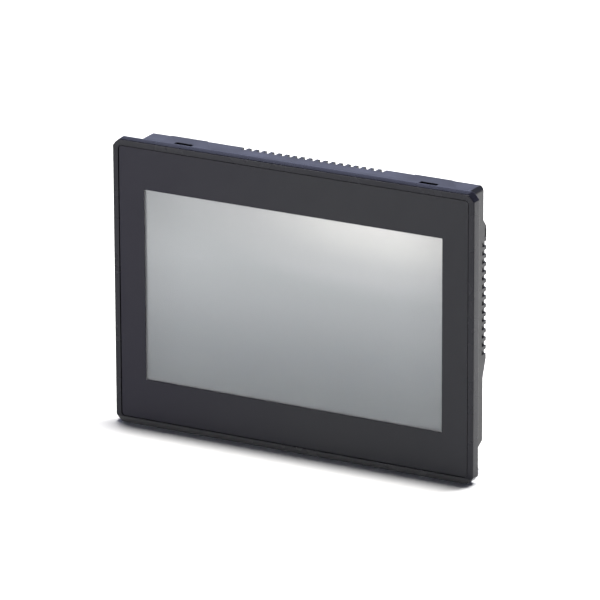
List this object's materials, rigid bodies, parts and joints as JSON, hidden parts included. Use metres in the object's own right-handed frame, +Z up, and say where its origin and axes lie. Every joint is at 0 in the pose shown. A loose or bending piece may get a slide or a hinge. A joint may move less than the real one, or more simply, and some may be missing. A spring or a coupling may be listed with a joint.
{
  "type": "panel-mount touch screen operator terminal",
  "caption": "Slim wide-screen operator touch panel with a charcoal front frame, silver-grey display, vented rear cover and a downward-facing connector bay.",
  "frame": {"origin": "centre of the panel cut-out, in the plane of the panel's front surface that the seal rests on", "axes": "+X to the right seen from the front, +Y back into the cabinet, +Z up"},
  "size_m": [0.272, 0.038, 0.201],
  "materials": {
    "frame_plastic": "fine textured moulding, charcoal",
    "overlay_film": "satin polyester film, charcoal print",
    "touch_film": "anti-glare film over glass",
    "display_glass": "silver-grey unlit display",
    "seal_rubber": "soft cellular rubber",
    "sheet_steel": "zinc-plated sheet",
    "screw_steel": "zinc-plated, clear",
    "brass": "plain",
    "board_green": "solder mask",
    "chip_black": "moulded epoxy",
    "sink_black": "black anodised extrusion",
    "can_aluminium": "drawn can",
    "ribbon_film": "polyimide film",
    "cover_plastic": "fine textured moulding, black",
    "label_film": "matt silver film, blank",
    "cell_steel": "nickel-plated",
    "switch_red": "moulded",
    "lever_white": "moulded",
    "button_grey": "moulded",
    "terminal_green": "glass-filled moulding",
    "contact_gold": "gold-flashed",
    "socket_steel": "tinned shell",
    "socket_black": "moulded",
    "socket_white": "moulded"
  },
  "bodies": {
    "panel": {"front_frame": "frame_plastic", "front_overlay": "overlay_film", "touch_screen": "touch_film", "touch_gasket": "seal_rubber", "lcd_glass": "display_glass", "lcd_chassis": "sheet_steel", "panel_seal": "seal_rubber", "support_plate": "sheet_steel", "plate_screws": "screw_steel", "board_standoffs": "brass", "main_board": "board_green", "board_screws": "screw_steel", "processor_chip": "chip_black", "processor_heat_sink": "sink_black", "memory_chips": "chip_black", "capacitors": "can_aluminium", "buzzer": "chip_black", "display_ribbon": "ribbon_film", "touch_ribbon": "ribbon_film", "rear_cover": "cover_plastic", "rear_cover_screws": "screw_steel", "rating_label": "label_film", "coin_cell_holder": "socket_black", "coin_cell": "cell_steel", "dip_switch_base": "switch_red", "reset_switch": "chip_black", "power_header": "terminal_green", "power_pins": "contact_gold", "ethernet_jack_shell": "socket_steel", "ethernet_jack_insert": "socket_black", "ethernet_contacts": "contact_gold", "usb_host_shell": "socket_steel", "usb_host_tongue": "socket_white", "usb_device_shell": "socket_steel", "usb_device_tongue": "socket_black", "serial_port_shell": "socket_steel", "serial_port_insert": "socket_black", "serial_jack_screws": "screw_steel", "memory_card_slot": "socket_steel", "earth_tab": "sheet_steel", "earth_screw": "screw_steel", "earth_nut": "screw_steel"},
    "door": {"battery_door": "cover_plastic"},
    "lever_1": {"dip_lever_1": "lever_white"},
    "lever_2": {"dip_lever_2": "lever_white"},
    "lever_3": {"dip_lever_3": "lever_white"},
    "lever_4": {"dip_lever_4": "lever_white"},
    "button": {"reset_button": "button_grey"},
    "plug": {"power_plug_body": "terminal_green", "plug_wire_clamps": "screw_steel"},
    "screw_1": {"terminal_screw_1": "screw_steel"},
    "screw_2": {"terminal_screw_2": "screw_steel"},
    "screw_3": {"terminal_screw_3": "screw_steel"}
  },
  "joints": [
    {"name": "battery_door_hinge", "type": "hinge", "parent": "panel", "child": "door", "pos_m": [0.0571, 0.0296, 0.01], "axis": [0, 0, 1], "range_deg": [0, 95]},
    {"name": "lever_1_slide", "type": "slide", "parent": "panel", "child": "lever_1", "axis": [0, 0, 1], "range_m": [0, 0.0024]},
    {"name": "lever_2_slide", "type": "slide", "parent": "panel", "child": "lever_2", "axis": [0, 0, 1], "range_m": [0, 0.0024]},
    {"name": "lever_3_slide", "type": "slide", "parent": "panel", "child": "lever_3", "axis": [0, 0, 1], "range_m": [0, 0.0024]},
    {"name": "lever_4_slide", "type": "slide", "parent": "panel", "child": "lever_4", "axis": [0, 0, 1], "range_m": [0, 0.0024]},
    {"name": "reset_press", "type": "slide", "parent": "panel", "child": "button", "axis": [0, -1, 0], "range_m": [0, 0.0008], "stiffness_N_per_m": 800, "springref_m": -0.0005},
    {"name": "plug_pull", "type": "slide", "parent": "panel", "child": "plug", "axis": [0, 0, -1], "range_m": [0, 0.012]},
    {"name": "terminal_screw_1_turn", "type": "hinge", "parent": "plug", "child": "screw_1", "pos_m": [-0.06308, 0.018, -0.0835], "axis": [0, 1, 0], "continuous": true},
    {"name": "terminal_screw_2_turn", "type": "hinge", "parent": "plug", "child": "screw_2", "pos_m": [-0.058, 0.018, -0.0835], "axis": [0, 1, 0], "continuous": true},
    {"name": "terminal_screw_3_turn", "type": "hinge", "parent": "plug", "child": "screw_3", "pos_m": [-0.05292, 0.018, -0.0835], "axis": [0, 1, 0], "continuous": true}
  ]
}
